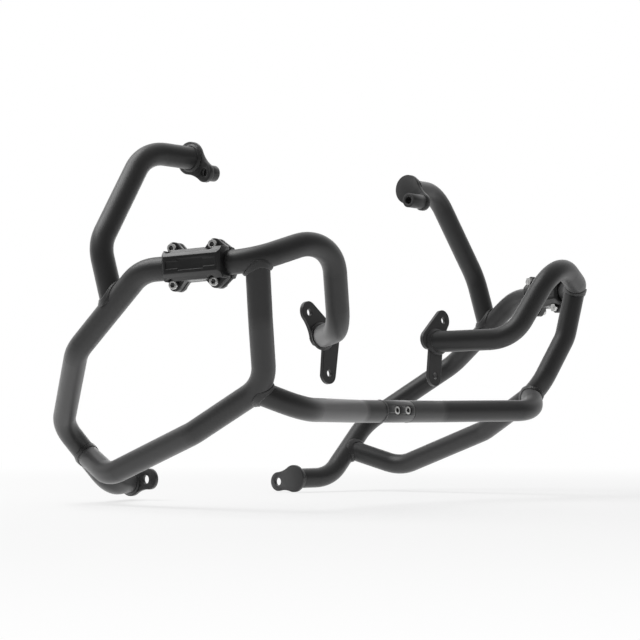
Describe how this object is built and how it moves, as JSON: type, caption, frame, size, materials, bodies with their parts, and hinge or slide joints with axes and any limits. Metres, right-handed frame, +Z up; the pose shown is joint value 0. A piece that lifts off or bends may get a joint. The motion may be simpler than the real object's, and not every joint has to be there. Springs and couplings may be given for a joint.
{
  "type": "motorcycle crash bars",
  "caption": "Pair of bent-tube engine guards for a flat-twin motorcycle, joined by a screwed half-lap cross tube, with clamp-on slider pads.",
  "frame": {"origin": "middle of the whole part's box, 131.35 mm behind and 102.5 mm above the middle of the cross tube", "axes": "+X to the motorcycle's left, +Y to its rear, +Z up, as fitted"},
  "size_m": [0.7414, 0.4356, 0.4284],
  "materials": {
    "powder_coat": "satin black powder coat on steel tube and plate",
    "pad_plastic": "smooth black moulded plastic",
    "stainless": "bright stainless steel"
  },
  "bodies": {
    "root": {"right_main_tube": "powder_coat", "right_post_tube": "powder_coat", "right_cross_tube": "powder_coat", "right_top_strut": "powder_coat", "right_front_plate": "powder_coat", "right_rear_tab": "powder_coat", "right_top_plate": "powder_coat", "right_top_spacer": "powder_coat", "right_cross_insert": "powder_coat", "right_pad_outer_shell": "pad_plastic", "right_pad_inner_shell": "pad_plastic", "right_pad_screws": "stainless", "right_pad_nuts": "stainless", "right_weld_beads": "powder_coat", "left_main_tube": "powder_coat", "left_post_tube": "powder_coat", "left_cross_tube": "powder_coat", "left_top_strut": "powder_coat", "left_front_plate": "powder_coat", "left_rear_tab": "powder_coat", "left_top_plate": "powder_coat", "left_top_spacer": "powder_coat", "left_cross_insert": "powder_coat", "left_pad_outer_shell": "pad_plastic", "left_pad_inner_shell": "pad_plastic", "left_pad_screws": "stainless", "left_pad_nuts": "stainless", "left_weld_beads": "powder_coat", "joint_screws": "stainless"}
  },
  "joints": []
}
